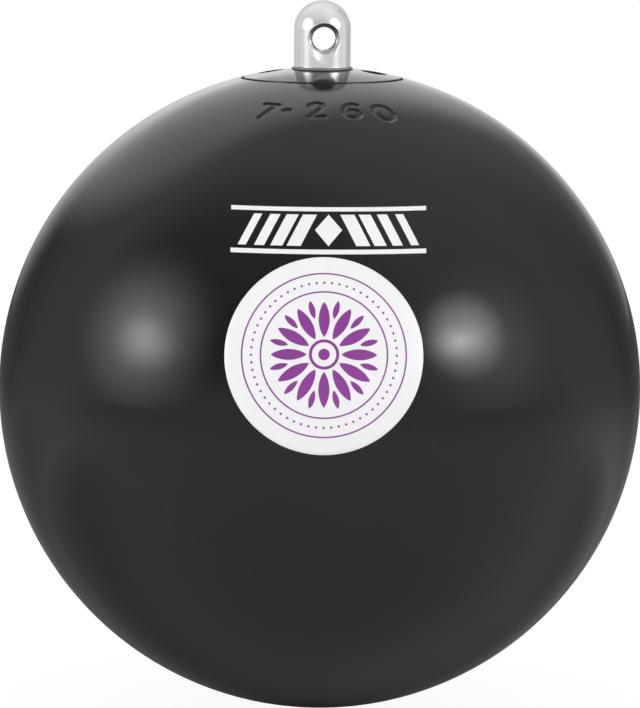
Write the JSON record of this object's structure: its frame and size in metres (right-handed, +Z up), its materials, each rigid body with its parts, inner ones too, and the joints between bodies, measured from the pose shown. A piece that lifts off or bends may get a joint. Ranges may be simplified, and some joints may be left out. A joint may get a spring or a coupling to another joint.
{
  "type": "throwing hammer head",
  "caption": "Solid steel ball with a flush screwed bearing housing, and a round-nosed eye that turns freely in it and takes the wire of a throwing hammer.",
  "frame": {"origin": "lowest point of the ball, straight below the swivel's axis", "axes": "+Z up along the swivel's axis, -Y towards the side that the picture shows, +X to the right of that view"},
  "size_m": [0.12, 0.12, 0.1325],
  "materials": {
    "head_paint": "gloss",
    "housing_paint": "gloss",
    "spindle_chrome": "polished",
    "bearing_steel": "polished",
    "pressed_steel": "satin",
    "cage_brass": "satin",
    "zinc_plate": "satin",
    "seal_rubber": "matte",
    "label_white": "gloss",
    "label_purple": "gloss"
  },
  "bodies": {
    "head": {"head_body": "head_paint", "bearing_housing": "housing_paint", "dust_seal": "seal_rubber", "radial_outer_race": "bearing_steel", "upper_shield": "pressed_steel", "lower_shield": "pressed_steel", "bearing_spacer": "pressed_steel", "thrust_housing_washer": "bearing_steel"},
    "swivel": {"swivel_spindle": "spindle_chrome", "radial_inner_race": "bearing_steel", "thrust_shaft_washer": "bearing_steel", "nut_washer": "zinc_plate", "castle_nut": "zinc_plate", "split_pin": "zinc_plate"},
    "radial_cage": {"ribbon_cage_upper": "pressed_steel", "ribbon_cage_lower": "pressed_steel"},
    "thrust_cage": {"thrust_cage": "cage_brass"},
    "radial_ball_1_rolling": {"radial_ball_1": "bearing_steel"},
    "radial_ball_2_rolling": {"radial_ball_2": "bearing_steel"},
    "radial_ball_3_rolling": {"radial_ball_3": "bearing_steel"},
    "radial_ball_4_rolling": {"radial_ball_4": "bearing_steel"},
    "radial_ball_5_rolling": {"radial_ball_5": "bearing_steel"},
    "radial_ball_6_rolling": {"radial_ball_6": "bearing_steel"},
    "radial_ball_7_rolling": {"radial_ball_7": "bearing_steel"},
    "thrust_ball_1_rolling": {"thrust_ball_1": "bearing_steel"},
    "thrust_ball_2_rolling": {"thrust_ball_2": "bearing_steel"},
    "thrust_ball_3_rolling": {"thrust_ball_3": "bearing_steel"},
    "thrust_ball_4_rolling": {"thrust_ball_4": "bearing_steel"},
    "thrust_ball_5_rolling": {"thrust_ball_5": "bearing_steel"},
    "thrust_ball_6_rolling": {"thrust_ball_6": "bearing_steel"},
    "thrust_ball_7_rolling": {"thrust_ball_7": "bearing_steel"},
    "thrust_ball_8_rolling": {"thrust_ball_8": "bearing_steel"},
    "thrust_ball_9_rolling": {"thrust_ball_9": "bearing_steel"}
  },
  "joints": [
    {"name": "swivel_turn", "type": "hinge", "parent": "head", "child": "swivel", "pos_m": [0, 0, 0.1256], "axis": [0, 0, 1], "continuous": true},
    {"name": "radial_cage_turn", "type": "hinge", "parent": "head", "child": "radial_cage", "pos_m": [0, 0, 0.1089], "axis": [0, 0, 1], "continuous": true},
    {"name": "thrust_cage_turn", "type": "hinge", "parent": "head", "child": "thrust_cage", "pos_m": [0, 0, 0.1007], "axis": [0, 0, 1], "continuous": true},
    {"name": "radial_ball_1_roll", "type": "hinge", "parent": "radial_cage", "child": "radial_ball_1_rolling", "pos_m": [0.0075, 0, 0.1089], "axis": [0, 0, 1], "continuous": true},
    {"name": "radial_ball_2_roll", "type": "hinge", "parent": "radial_cage", "child": "radial_ball_2_rolling", "pos_m": [0.00468, 0.00586, 0.1089], "axis": [0, 0, 1], "continuous": true},
    {"name": "radial_ball_3_roll", "type": "hinge", "parent": "radial_cage", "child": "radial_ball_3_rolling", "pos_m": [-0.00167, 0.00731, 0.1089], "axis": [0, 0, 1], "continuous": true},
    {"name": "radial_ball_4_roll", "type": "hinge", "parent": "radial_cage", "child": "radial_ball_4_rolling", "pos_m": [-0.00676, 0.00325, 0.1089], "axis": [0, 0, 1], "continuous": true},
    {"name": "radial_ball_5_roll", "type": "hinge", "parent": "radial_cage", "child": "radial_ball_5_rolling", "pos_m": [-0.00676, -0.00325, 0.1089], "axis": [0, 0, 1], "continuous": true},
    {"name": "radial_ball_6_roll", "type": "hinge", "parent": "radial_cage", "child": "radial_ball_6_rolling", "pos_m": [-0.00167, -0.00731, 0.1089], "axis": [0, 0, 1], "continuous": true},
    {"name": "radial_ball_7_roll", "type": "hinge", "parent": "radial_cage", "child": "radial_ball_7_rolling", "pos_m": [0.00468, -0.00586, 0.1089], "axis": [0, 0, 1], "continuous": true},
    {"name": "thrust_ball_1_roll", "type": "hinge", "parent": "thrust_cage", "child": "thrust_ball_1_rolling", "pos_m": [0.0075, 0, 0.1007], "axis": [1, 0, 0], "continuous": true},
    {"name": "thrust_ball_2_roll", "type": "hinge", "parent": "thrust_cage", "child": "thrust_ball_2_rolling", "pos_m": [0.00575, 0.00482, 0.1007], "axis": [0.766, 0.6428, 0], "continuous": true},
    {"name": "thrust_ball_3_roll", "type": "hinge", "parent": "thrust_cage", "child": "thrust_ball_3_rolling", "pos_m": [0.0013, 0.00739, 0.1007], "axis": [0.1736, 0.9848, 0], "continuous": true},
    {"name": "thrust_ball_4_roll", "type": "hinge", "parent": "thrust_cage", "child": "thrust_ball_4_rolling", "pos_m": [-0.00375, 0.0065, 0.1007], "axis": [-0.5, 0.866, 0], "continuous": true},
    {"name": "thrust_ball_5_roll", "type": "hinge", "parent": "thrust_cage", "child": "thrust_ball_5_rolling", "pos_m": [-0.00705, 0.00257, 0.1007], "axis": [-0.9397, 0.342, 0], "continuous": true},
    {"name": "thrust_ball_6_roll", "type": "hinge", "parent": "thrust_cage", "child": "thrust_ball_6_rolling", "pos_m": [-0.00705, -0.00257, 0.1007], "axis": [-0.9397, -0.342, 0], "continuous": true},
    {"name": "thrust_ball_7_roll", "type": "hinge", "parent": "thrust_cage", "child": "thrust_ball_7_rolling", "pos_m": [-0.00375, -0.0065, 0.1007], "axis": [-0.5, -0.866, 0], "continuous": true},
    {"name": "thrust_ball_8_roll", "type": "hinge", "parent": "thrust_cage", "child": "thrust_ball_8_rolling", "pos_m": [0.0013, -0.00739, 0.1007], "axis": [0.1736, -0.9848, 0], "continuous": true},
    {"name": "thrust_ball_9_roll", "type": "hinge", "parent": "thrust_cage", "child": "thrust_ball_9_rolling", "pos_m": [0.00575, -0.00482, 0.1007], "axis": [0.766, -0.6428, 0], "continuous": true}
  ],
  "couplings": [
    {"joint": "radial_cage_turn", "follows": "swivel_turn", "ratio": 0.36767},
    {"joint": "thrust_cage_turn", "follows": "swivel_turn", "ratio": 0.5},
    {"joint": "radial_ball_1_roll", "follows": "swivel_turn", "ratio": -1.7568},
    {"joint": "radial_ball_2_roll", "follows": "swivel_turn", "ratio": -1.7568},
    {"joint": "radial_ball_3_roll", "follows": "swivel_turn", "ratio": -1.7568},
    {"joint": "radial_ball_4_roll", "follows": "swivel_turn", "ratio": -1.7568},
    {"joint": "radial_ball_5_roll", "follows": "swivel_turn", "ratio": -1.7568},
    {"joint": "radial_ball_6_roll", "follows": "swivel_turn", "ratio": -1.7568},
    {"joint": "radial_ball_7_roll", "follows": "swivel_turn", "ratio": -1.7568},
    {"joint": "thrust_ball_1_roll", "follows": "swivel_turn", "ratio": 1.8892},
    {"joint": "thrust_ball_2_roll", "follows": "swivel_turn", "ratio": 1.8892},
    {"joint": "thrust_ball_3_roll", "follows": "swivel_turn", "ratio": 1.8892},
    {"joint": "thrust_ball_4_roll", "follows": "swivel_turn", "ratio": 1.8892},
    {"joint": "thrust_ball_5_roll", "follows": "swivel_turn", "ratio": 1.8892},
    {"joint": "thrust_ball_6_roll", "follows": "swivel_turn", "ratio": 1.8892},
    {"joint": "thrust_ball_7_roll", "follows": "swivel_turn", "ratio": 1.8892},
    {"joint": "thrust_ball_8_roll", "follows": "swivel_turn", "ratio": 1.8892},
    {"joint": "thrust_ball_9_roll", "follows": "swivel_turn", "ratio": 1.8892}
  ]
}
